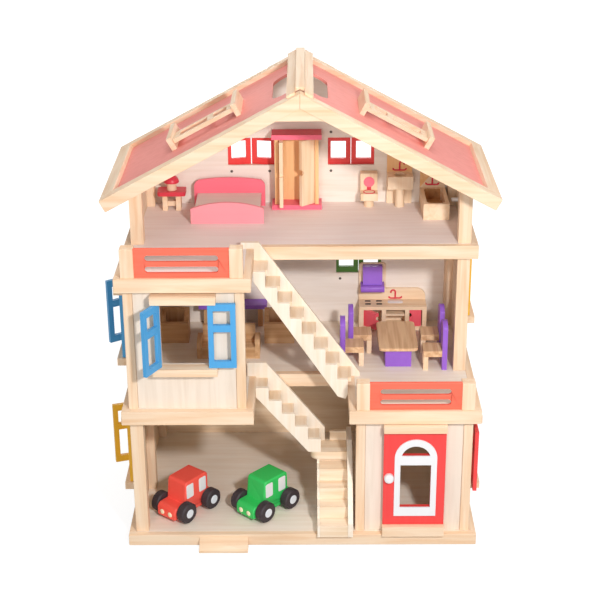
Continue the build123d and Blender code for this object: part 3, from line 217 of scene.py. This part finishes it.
def boards(mesh):
    """Polygons of each separate solid in a mesh, with the solid's box in millimetres."""
    parent = {}

    def root(key):
        while parent[key] != key:
            parent[key] = parent[parent[key]]
            key = parent[key]
        return key

    keys = [tuple(round(value, 6) for value in vertex.co) for vertex in mesh.vertices]
    for key in keys:
        parent.setdefault(key, key)
    for polygon in mesh.polygons:
        first = root(keys[polygon.vertices[0]])
        for index in polygon.vertices[1:]:
            parent[root(keys[index])] = first
    groups = {}
    for polygon in mesh.polygons:
        groups.setdefault(root(keys[polygon.vertices[0]]), []).append(polygon)
    for polygons in groups.values():
        places = [mesh.vertices[index].co for polygon in polygons for index in polygon.vertices]
        low = [min(place[i] for place in places) / MM for i in range(3)]
        high = [max(place[i] for place in places) / MM for i in range(3)]
        yield polygons, low, high


def long_axis(low, high):
    """The axis along which a box is longest."""
    sizes = [high[i] - low[i] for i in range(3)]
    return AXES[sizes.index(max(sizes))]


EDGE_ROUND = 0.8
EDGE_ANGLE = 40
WELD_REACH = 0.00001


def dress(name, choose, soften):
    """Give every polygon of a node the material its solid and place ask for."""
    node = nodes[name]
    mesh = node.data
    mesh.materials.clear()
    slots = {}
    for polygons, low, high in boards(mesh):
        axis = long_axis(low, high)
        for polygon in polygons:
            kind = choose(low, high, polygon.center / MM, polygon.normal)
            look = material(kind, axis)
            if look not in slots:
                slots[look] = len(slots)
                mesh.materials.append(look)
            polygon.material_index = slots[look]
    if soften:
        weld = node.modifiers.new("weld", "WELD")
        weld.merge_threshold = WELD_REACH
        bevel = node.modifiers.new("soft edges", "BEVEL")
        bevel.width = soften * MM
        bevel.segments = 2
        bevel.limit_method = "ANGLE"
        bevel.angle_limit = math.radians(EDGE_ANGLE)
        bevel.use_clamp_overlap = True


# Levels and limits that tell the solids of a node apart, in millimetres
UPPER = 238
ATTIC = 457
DOOR_LEAF_WIDTH = 80
BED_SIDE = -185
MATTRESS_WIDTH, MATTRESS_DEPTH = 100, 60
HEADBOARD_TOP = ATTIC + 43
STOOL_SEAT, STOOL_WIDTH = ATTIC + 20, 30
LAMP_FOOT, LAMP_SHADE = ATTIC + 28, ATTIC + 46
WARDROBE_TOP, WARDROBE_FOOT = ATTIC + 119, ATTIC + 9
BATH_DEPTH, BATH_FLOOR = 60, ATTIC + 26
BATH_NEAR_RIM, BATH_FAR_RIM = 4, 8
BOARD_THICK, BOARD_LOW, BOARD_SIDE = 6, ATTIC + 56, 140
HOOD_LOW = 290
TABLE_LEFT, TABLE_RIGHT, TABLE_TOP = 120, 190, 262
CHAIR_BACK, CHAIR_THICK = 45, 12
SOFA_BACK_LOW, SOFA_BACK_WIDTH = 270, 100
TREAD_DEPTH, TREAD_WIDTH = 20, 45
STEP_HEIGHT = 30
FACING = 0.5


# Each chooser names the look of a polygon from its solid's box, its centre and its normal

def plain(kind):
    return lambda low, high, centre, normal: kind


def roof_kind(low, high, centre, normal):
    return "inner" if normal.z < -FACING else "salmon"


def inner_wall_kind(low, high, centre, normal):
    # The rear face takes the warmer side wood, which is partly painted shade
    if normal.y > FACING:
        return "side"
    # Inner faces below the upper floor get darker wood as painted shade
    return "ground" if centre[2] < UPPER else "inner"


def side_wall_kind(low, high, centre, normal):
    # Side walls take the warmer side wood, which is partly painted shade
    inside = normal.x * centre[0] < 0
    # Inside faces below the upper floor get darker wood as painted shade
    return "ground" if inside and centre[2] < UPPER else "side"


def front_door_kind(low, high, centre, normal):
    return "red" if high[0] - low[0] > DOOR_LEAF_WIDTH else "white"


def bedroom_kind(low, high, centre, normal):
    width = high[0] - low[0]
    depth = high[1] - low[1]
    if width > MATTRESS_WIDTH and depth > MATTRESS_DEPTH:
        return "sheet" if normal.z > FACING else "pink"
    if low[0] > BED_SIDE:
        return "rose" if high[2] > HEADBOARD_TOP else "pink"
    if low[2] > LAMP_FOOT:
        return "crimson" if centre[2] > LAMP_SHADE else "toy"
    return "crimson" if width > STOOL_WIDTH and low[2] > STOOL_SEAT else "toy"


def wardrobe_kind(low, high, centre, normal):
    if centre[2] > WARDROBE_TOP:
        return "crimson" if normal.z > FACING else "blush"
    if centre[2] < WARDROBE_FOOT:
        return "blush"
    return "orange"


def bathroom_kind(low, high, centre, normal):
    # The inner bottom of the bath gets the dark wood: painted shade in the hollow
    deep = high[1] - low[1] > BATH_DEPTH
    inside = all(low[i] + BATH_NEAR_RIM < centre[i] < high[i] - BATH_FAR_RIM for i in (0, 1))
    if deep and inside and centre[2] < BATH_FLOOR:
        return "dark"
    tall = high[1] - BOARD_THICK < centre[1] and centre[2] > BOARD_LOW
    return "orange" if tall and low[0] > BOARD_SIDE else "toy"


def kitchen_kind(low, high, centre, normal):
    return "purple" if low[2] > HOOD_LOW else "toy"


def dining_kind(low, high, centre, normal):
    width, height = high[0] - low[0], high[2] - low[2]
    if TABLE_LEFT < low[0] and high[0] < TABLE_RIGHT:
        return "plank" if low[2] > TABLE_TOP else "purple"
    if height > CHAIR_BACK and width < CHAIR_THICK:
        return "purple"
    return "plank" if height < CHAIR_THICK else "toy"


def living_kind(low, high, centre, normal):
    # The living furniture gets darker wood as painted shade; the wide sofa backs are purple
    wide = high[0] - low[0] > SOFA_BACK_WIDTH
    return "purple" if wide and low[2] > SOFA_BACK_LOW else "living_shade_tan"


def stair_kind(low, high, centre, normal):
    width, depth = high[0] - low[0], high[1] - low[1]
    return "tread" if depth > TREAD_DEPTH and width < TREAD_WIDTH else "string"


def front_stair_kind(low, high, centre, normal):
    return "tread" if high[2] - low[2] < STEP_HEIGHT else "string"


PLAIN_LOOKS = {
    "front_walls": "wall",
    "base_panel": "floor",
    "upper_floor_panel": "floor",
    "attic_floor_panel": "attic",
    "railings": "rail",
    "wardrobe_left_door": "leaf",
    "wardrobe_right_door": "leaf",
    "kitchen_left_door": "cherry",
    "kitchen_right_door": "cherry",
    "red_car": "car_red",
    "green_car": "car_green",
}
MIXED_LOOKS = {
    "back_walls": inner_wall_kind,
    "left_walls": side_wall_kind,
    "right_walls": side_wall_kind,
    "roof_panels": roof_kind,
    "front_door": front_door_kind,
    "bedroom_furniture": bedroom_kind,
    "wardrobe": wardrobe_kind,
    "bathroom_furniture": bathroom_kind,
    "kitchen_unit": kitchen_kind,
    "dining_set": dining_kind,
    "living_furniture": living_kind,
    "upper_stair": stair_kind,
    "lower_stair": stair_kind,
    "front_stair": front_stair_kind,
}
# Paint of the shutters by window; the others are red
SHUTTER_PAINTS = {
    "bay": "blue",
    "left_upper": "blue",
    "left_lower": "yellow",
    "right_upper": "yellow",
    "kitchen": "green",
}

looks = {name: plain("pine") for name in nodes}
for name in nodes:
    if name.endswith("_axle"):
        looks[name] = plain("tyre")
    if name.endswith("_shutter"):
        windows = [window for window in SHUTTER_PAINTS if name.startswith(window)]
        looks[name] = plain(SHUTTER_PAINTS[windows[0]] if windows else "red")
looks.update({name: plain(kind) for name, kind in PLAIN_LOOKS.items()})
looks.update(MIXED_LOOKS)
for name, choose in looks.items():
    dress(name, choose, 0 if name.endswith("_axle") else EDGE_ROUND)


# Small pieces added to the CAD nodes

UP = Vector((0, 0, 1))
DOWN = -UP
BACK = Vector((0, 1, 0))
FRONT = -BACK
RIGHT = Vector((1, 0, 0))
SHARP_ANGLE = 35
CORNER_STEPS = 6
SINK_IN = 0.2
RING_PARTS = 10


def touch(name, start, direction):
    """Where a line from a place first meets a node, in millimetres."""
    mesh = nodes[name].data
    points = [vertex.co for vertex in mesh.vertices]
    faces = [list(polygon.vertices) for polygon in mesh.polygons]
    hit = BVHTree.FromPolygons(points, faces).ray_cast(Vector(start) * MM, Vector(direction))
    return hit[0] / MM


def skin(rings, closed=True):
    """A closed mesh over a row of rings with equally many points, in millimetres."""
    shape = bmesh.new()
    rows = [[shape.verts.new(Vector(point) * MM) for point in ring] for ring in rings]
    for lower, upper in zip(rows, rows[1:]):
        for step in range(len(lower)):
            after = (step + 1) % len(lower)
            shape.faces.new((lower[step], lower[after], upper[after], upper[step]))
    if closed:
        shape.faces.new(list(reversed(rows[0])))
        shape.faces.new(rows[-1])
    else:
        for step in range(len(rows[0])):
            after = (step + 1) % len(rows[0])
            first, last = rows[0], rows[-1]
            shape.faces.new((last[step], last[after], first[after], first[step]))
    return shape


def place_piece(name, shape, body, kind, axis="x"):
    """Turn a shape into a piece that rides on a body."""
    bmesh.ops.recalc_face_normals(shape, faces=shape.faces)
    mesh = bpy.data.meshes.new(name)
    shape.to_mesh(mesh)
    shape.free()
    mesh.materials.append(material(kind, axis))
    mesh.shade_smooth()
    mesh.set_sharp_from_angle(angle=math.radians(SHARP_ANGLE))
    piece = bpy.data.objects.new(name, mesh)
    bpy.context.scene.collection.objects.link(piece)
    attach(piece, body)
    return piece


def side_axes(axis):
    """A unit axis and two unit directions square to it."""
    axis = Vector(axis).normalized()
    across = axis.orthogonal().normalized()
    return axis, across, axis.cross(across)


def turned(profile, place, axis, count=40):
    """A turned form: radius and height of each ring along an axis through a place."""
    axis, across, other = side_axes(axis)
    rings = []
    for radius, height in profile:
        middle = Vector(place) + axis * height
        angles = [math.tau * step / count for step in range(count)]
        rings.append([middle + (across * math.cos(a) + other * math.sin(a)) * radius
                      for a in angles])
    return rings


def plate(width, height, corner, thick, place, right, up, edge=0.3):
    """A thin plate with round corners on a surface, its front edge slightly broken."""
    right, up = Vector(right).normalized(), Vector(up).normalized()
    out = right.cross(up)
    rings = []
    for level, inset in ((-SINK_IN, 0), (thick - edge, 0), (thick, edge)):
        ring = []
        for quarter, (sx, sy) in enumerate(((1, 1), (-1, 1), (-1, -1), (1, -1))):
            radius = corner - inset
            for step in range(CORNER_STEPS + 1):
                angle = math.tau / 4 * (quarter + step / CORNER_STEPS)
                u = sx * (width / 2 - corner) + radius * math.cos(angle)
                v = sy * (height / 2 - corner) + radius * math.sin(angle)
                ring.append(Vector(place) + right * u + up * v + out * level)
        rings.append(ring)
    return rings


def tube(path, radii, out, count=14):
    """A round bar along a flat path, with its radius at every point."""
    out = Vector(out).normalized()
    points = [Vector(point) for point in path]
    rings = []
    for index, point in enumerate(points):
        ahead = (points[min(index + 1, len(points) - 1)] - points[max(index - 1, 0)]).normalized()
        side = ahead.cross(out)
        angles = [math.tau * step / count for step in range(count)]
        rings.append([point + (side * math.cos(a) + out * math.sin(a)) * radii[index]
                      for a in angles])
    return rings


def ring_shape(radius, thick, place, count=40):
    """A lying ring with a round section."""
    turns = [math.tau * part / RING_PARTS for part in range(RING_PARTS)]
    rings = []
    for step in range(count):
        angle = math.tau * step / count
        outward = Vector((math.cos(angle), math.sin(angle), 0))
        middle = Vector(place) + outward * radius
        rings.append([middle + (outward * math.cos(a) + UP * math.sin(a)) * thick for a in turns])
    return rings


# Car windows, headlights and hubs
WINDOW_WIDTH, WINDOW_HEIGHT, WINDOW_ROUND = 16.0, 24.5, 3.0
WINDOW_ALONG = (10.5, -18.5)
WINDOW_RISE = 28.2
HEADLIGHT_RADIUS, HEADLIGHT_ACROSS, HEADLIGHT_RISE = 4.3, 8.5, -3.5
HUB_RADIUS = 7.5
WINDOW_THICK = 0.5
REACH = 200


def add_car_details(car):
    """Windows and headlights on a car's body, hubs on its axles."""
    front = pivots[f"{car}_front_axle"] / MM
    rear = pivots[f"{car}_rear_axle"] / MM
    middle = (front + rear) / 2
    ahead = (front - rear).normalized()
    side = ahead.cross(UP)
    for number, along in enumerate(WINDOW_ALONG):
        for label, out in (("right", side), ("left", -side)):
            level = middle + ahead * along + UP * WINDOW_RISE
            place = touch(car, level + out * REACH, -out)
            rings = plate(WINDOW_WIDTH, WINDOW_HEIGHT, WINDOW_ROUND, WINDOW_THICK,
                          place, UP.cross(out), UP)
            place_piece(f"{car}_window_{label}_{number}", skin(rings), "house", "white")
    for label, sign in (("right", 1), ("left", -1)):
        start = middle + side * sign * HEADLIGHT_ACROSS + UP * HEADLIGHT_RISE + ahead * REACH
        place = touch(car, start, -ahead)
        size = HEADLIGHT_RADIUS
        profile = [(size, -0.3), (size, 0.5), (size * 0.8, 1.1),
                   (size * 0.45, 1.5), (size * 0.1, 1.7)]
        rings = turned(profile, place, ahead)
        place_piece(f"{car}_headlight_{label}", skin(rings), "house", "cream")
    for axle, pivot in (("front", front), ("rear", rear)):
        body = f"{car}_{axle}_axle"
        for label, out in (("right", side), ("left", -side)):
            start = pivot + out * REACH + UP * HUB_RADIUS / 2
            level = (touch(body, start, -out) - pivot).dot(out)
            place = pivot + out * level
            profile = [(HUB_RADIUS, -0.3), (HUB_RADIUS, 0.3), (HUB_RADIUS - 0.5, 0.7),
                       (HUB_RADIUS * 0.4, 0.9), (0.3, 1.0)]
            place_piece(f"{body}_hub_{label}", skin(turned(profile, place, out)), body, "hub")


add_car_details("red_car")
add_car_details("green_car")

# Screws in the back wall: x and z of each head
SCREWS = ((-115.7, 511.7), (-52.5, 512.1), (49.5, 578.9), (49.7, 512.1), (65.8, 317.9))
SCREW_RADIUS = 2.3
for number, (x, z) in enumerate(SCREWS):
    place = touch("back_walls", (x, 0, z), BACK)
    profile = [(SCREW_RADIUS, -0.2), (SCREW_RADIUS, 0.2), (SCREW_RADIUS * 0.75, 0.8), (0.4, 1.0)]
    rings = turned(profile, place, FRONT, 24)
    place_piece(f"back_wall_screw_{number}", skin(rings), "house", "steel")

# White peg on the right wall of the attic
PEG_FROM_X, PEG_Y, PEG_Z = 200, 112.0, 479.5
PEG_RADIUS, PEG_LENGTH = 3.2, 11.0
place = touch("right_walls", (PEG_FROM_X, PEG_Y, PEG_Z), RIGHT)
profile = [(PEG_RADIUS, -0.5), (PEG_RADIUS, PEG_LENGTH - 1),
           (PEG_RADIUS - 1, PEG_LENGTH), (0.5, PEG_LENGTH)]
place_piece("attic_wall_peg", skin(turned(profile, place, -RIGHT, 28)), "house", "white")

# Hob bars and sink on the kitchen counter
HOB_PLACES = [(x, y) for x in (113.3, 132.7) for y in (140.7, 153.8)]
HOB_LENGTH, HOB_WIDTH, HOB_ROUND, HOB_THICK = 10.0, 5.0, 1.6, 0.5
SINK_X, SINK_Y = 160.5, 149.5
SINK_LENGTH, SINK_WIDTH, SINK_ROUND, SINK_THICK = 26.0, 11.0, 2.5, 0.6
COUNTER_LOOK = 300
for number, (x, y) in enumerate(HOB_PLACES):
    place = touch("kitchen_unit", (x, y, COUNTER_LOOK), DOWN)
    rings = plate(HOB_LENGTH, HOB_WIDTH, HOB_ROUND, HOB_THICK, place, RIGHT, BACK)
    place_piece(f"kitchen_hob_bar_{number}", skin(rings), "house", "black")
place = touch("kitchen_unit", (SINK_X, SINK_Y, COUNTER_LOOK), DOWN)
rings = plate(SINK_LENGTH, SINK_WIDTH, SINK_ROUND, SINK_THICK, place, RIGHT, BACK)
place_piece("kitchen_sink", skin(rings), "house", "white")

# Red taps on the back boards: base bar with two handles and a hooked neck
TAP_HALF, TAP_NECK, TAP_HOOK, TAP_THICK = 11.3, 15.0, 7.5, 1.5
TAP_AIM, TAP_DRIP = 4, 1.5
NECK_STEPS, HOOK_STEPS = 3, 7
# Place along the half bar, rise and thickness share of each point of the base bar
TAP_BAR = ((-1, 3.6, 0.5), (-0.93, 1.4, 1.1), (-0.7, 0, 0.9), (0, 0, 0.9),
           (0.7, 0, 0.9), (0.93, 1.4, 1.1), (1, 3.6, 0.5))


def add_tap(name, node, x, z, hand):
    """A flat tap on a board; its hook points to the given hand."""
    place = touch(node, (x, 0, z + TAP_AIM), BACK)
    base = Vector((place.x, place.y, z))
    bar = [base + RIGHT * along * TAP_HALF + UP * rise for along, rise, share in TAP_BAR]
    radii = [TAP_THICK * share for along, rise, share in TAP_BAR]
    place_piece(f"{name}_bar", skin(tube(bar, radii, FRONT)), "house", "crimson")
    half = TAP_HOOK / 2
    neck = [base + UP * (TAP_NECK - half) * step / NECK_STEPS for step in range(NECK_STEPS + 1)]
    middle = neck[-1] + RIGHT * hand * half
    for step in range(1, HOOK_STEPS + 1):
        angle = math.pi * (1 - step / HOOK_STEPS)
        neck.append(middle + RIGHT * hand * math.cos(angle) * half + UP * math.sin(angle) * half)
    neck.append(neck[-1] + DOWN * TAP_DRIP)
    radii = [TAP_THICK] * len(neck)
    place_piece(f"{name}_neck", skin(tube(neck, radii, FRONT)), "house", "crimson")


add_tap("kitchen_tap", "kitchen_unit", 161.0, 283.0, -1)
add_tap("basin_tap", "bathroom_furniture", 163.5, 515.0, 1)
add_tap("bath_tap", "bathroom_furniture", 218.5, 489.0, 1)

# Toilet: lid disc and neck on the cistern, ring on the seat
TOILET_X = 112.6
LID_Z, LID_RADIUS = 498.0, 9.0
RING_Y, RING_RADIUS, RING_THICK = 138.5, 9.0, 1.0
NECK_WIDTH, NECK_ROUND, NECK_THICK, NECK_LAP = 7.0, 1.0, 0.6, 2
place = touch("bathroom_furniture", (TOILET_X, 0, LID_Z), BACK)
profile = [(LID_RADIUS, -0.2), (LID_RADIUS, 0.4), (LID_RADIUS - 0.5, 0.8), (0.5, 0.9)]
place_piece("toilet_lid", skin(turned(profile, place, FRONT)), "house", "rose")
seat = touch("bathroom_furniture", (TOILET_X, RING_Y, LID_Z), DOWN)
neck_height = LID_Z - LID_RADIUS - seat.z + NECK_LAP
neck_place = Vector((TOILET_X, place.y, seat.z + neck_height / 2 + SINK_IN))
rings = plate(NECK_WIDTH, neck_height, NECK_ROUND, NECK_THICK, neck_place, RIGHT, UP)
place_piece("toilet_lid_neck", skin(rings), "house", "crimson")
rings = ring_shape(RING_RADIUS, RING_THICK, seat)
place_piece("toilet_ring", skin(rings, False), "house", "crimson")
profile = [(RING_RADIUS, -0.2), (RING_RADIUS, 0.2), (RING_RADIUS - 1, 0.3), (0.5, 0.3)]
place_piece("toilet_bowl_disc", skin(turned(profile, seat, UP)), "house", "cream")


# Camera that repeats the photograph

CAMERA_PLACE = Vector((0.01147, -2.06678, 1.23612))
CAMERA_PITCH = math.radians(23.22)
CAMERA_YAW = math.radians(-0.38)
CAMERA_ROLL = math.radians(-0.39)
CAMERA_LENS = 84.19
CAMERA_SENSOR = 36


def add_camera():
    """The camera solved from the photograph's straight edges."""
    ahead = Vector((
        math.sin(CAMERA_YAW) * math.cos(CAMERA_PITCH),
        math.cos(CAMERA_YAW) * math.cos(CAMERA_PITCH),
        -math.sin(CAMERA_PITCH),
    ))
    level = Vector((math.cos(CAMERA_YAW), -math.sin(CAMERA_YAW), 0))
    upward = level.cross(ahead)
    right = level * math.cos(CAMERA_ROLL) + upward * math.sin(CAMERA_ROLL)
    top = upward * math.cos(CAMERA_ROLL) - level * math.sin(CAMERA_ROLL)
    data = bpy.data.cameras.new("photo camera")
    data.lens = CAMERA_LENS
    data.sensor_width = CAMERA_SENSOR
    camera = bpy.data.objects.new("photo camera", data)
    camera.matrix_world = Matrix((
        (right.x, top.x, -ahead.x, CAMERA_PLACE.x),
        (right.y, top.y, -ahead.y, CAMERA_PLACE.y),
        (right.z, top.z, -ahead.z, CAMERA_PLACE.z),
        (0, 0, 0, 1),
    ))
    bpy.context.scene.collection.objects.link(camera)
    bpy.context.scene.camera = camera


# Floor, world and lamps

WHITE = (1.0, 1.0, 1.0, 1.0)
WORLD_LEVEL = 0.42
FLOOR_SIZE, FLOOR_DROP = 40, 0.0005
FLOOR_GREY, FLOOR_SEEN = 0.38, 0.3
FLOOR_ROUGHNESS, FLOOR_SPECULAR = 0.95, 0.1
# Glow of the floor near the object and far from it, over its distance in metres
FLOOR_GLOW = {"From Min": 0.7, "From Max": 2.2, "To Min": 0.82, "To Max": 1.0}


def seen_directly(tree):
    """1 for rays from the camera, a reflection or a clear material, 0 for diffuse light."""
    path = add(tree, "ShaderNodeLightPath")
    result = path.outputs["Is Camera Ray"]
    for kind in ("Is Glossy Ray", "Is Transmission Ray"):
        either = add(tree, "ShaderNodeMath", operation="MAXIMUM")
        tree.links.new(result, either.inputs[0])
        tree.links.new(path.outputs[kind], either.inputs[1])
        result = either.outputs["Value"]
    return result


def add_floor():
    """Pale floor that the camera sees as white where it is lit, with the shadow kept."""
    bpy.ops.mesh.primitive_plane_add(size=FLOOR_SIZE, location=(0, 0, -FLOOR_DROP))
    floor = bpy.context.object
    floor.name = "studio floor"
    material, tree, shader = start_material("studio floor")
    shader.inputs["Base Color"].default_value = (FLOOR_GREY, FLOOR_GREY, FLOOR_GREY, 1.0)
    shader.inputs["Roughness"].default_value = FLOOR_ROUGHNESS
    shader.inputs["Specular IOR Level"].default_value = FLOOR_SPECULAR
    place = add(tree, "ShaderNodeTexCoord")
    reach = add(tree, "ShaderNodeVectorMath", operation="LENGTH")
    rise = add(tree, "ShaderNodeMapRange", FLOOR_GLOW)
    seen_grey = (FLOOR_SEEN, FLOOR_SEEN, FLOOR_SEEN, 1.0)
    dull = add(tree, "ShaderNodeBsdfDiffuse", {"Color": seen_grey})
    glow = add(tree, "ShaderNodeEmission", {"Color": WHITE})
    seen = add(tree, "ShaderNodeAddShader")
    mix = add(tree, "ShaderNodeMixShader")
    tree.links.new(place.outputs["Object"], reach.inputs[0])
    tree.links.new(reach.outputs["Value"], rise.inputs["Value"])
    tree.links.new(rise.outputs["Result"], glow.inputs["Strength"])
    tree.links.new(dull.outputs["BSDF"], seen.inputs[0])
    tree.links.new(glow.outputs["Emission"], seen.inputs[1])
    tree.links.new(seen_directly(tree), mix.inputs["Fac"])
    tree.links.new(shader.outputs["BSDF"], mix.inputs[1])
    tree.links.new(seen.outputs["Shader"], mix.inputs[2])
    tree.links.new(mix.outputs["Shader"], tree.nodes["Material Output"].inputs["Surface"])
    floor.data.materials.append(material)


def add_world(light, strength):
    """Even light from all round; the camera sees white behind the object."""
    world = bpy.data.worlds.new("studio")
    bpy.context.scene.world = world
    world.use_nodes = True
    tree = world.node_tree
    tree.nodes.clear()
    output = add(tree, "ShaderNodeOutputWorld")
    sky = add(tree, "ShaderNodeBackground", {"Color": light, "Strength": strength})
    white = add(tree, "ShaderNodeBackground", {"Color": WHITE, "Strength": 1.0})
    mix = add(tree, "ShaderNodeMixShader")
    tree.links.new(seen_directly(tree), mix.inputs["Fac"])
    tree.links.new(sky.outputs["Background"], mix.inputs[1])
    tree.links.new(white.outputs["Background"], mix.inputs[2])
    tree.links.new(mix.outputs["Shader"], output.inputs["Surface"])


def add_lamp(name, place, target, size, power, colour=WHITE[:3]):
    """A round area lamp of a size in metres and a power in watts, aimed at a target."""
    data = bpy.data.lights.new(name, "AREA")
    data.shape = "DISK"
    data.size = size
    data.energy = power
    data.color = colour
    lamp = bpy.data.objects.new(name, data)
    lamp.location = place
    aim = Vector(target) - Vector(place)
    lamp.rotation_euler = aim.to_track_quat("-Z", "Y").to_euler()
    bpy.context.scene.collection.objects.link(lamp)


add_camera()
add_floor()
add_world(WHITE, WORLD_LEVEL)
add_lamp("key", (0.4, -1.36, 1.1), (0, 0, 0.25), 0.12, 15.5)
add_lamp("fill", (-0.5, -3.0, 0.7), (0, 0, 0.3), 1.2, 18, (1.0, 0.98, 0.95))
add_lamp("top", (0, 0.2, 3.2), (0, 0.1, 0.5), 2.4, 30)
add_lamp("back", (0, 2.9, 0.7), (0, 0, 0.4), 1.6, 30)
bpy.context.scene.view_settings.view_transform = "Standard"
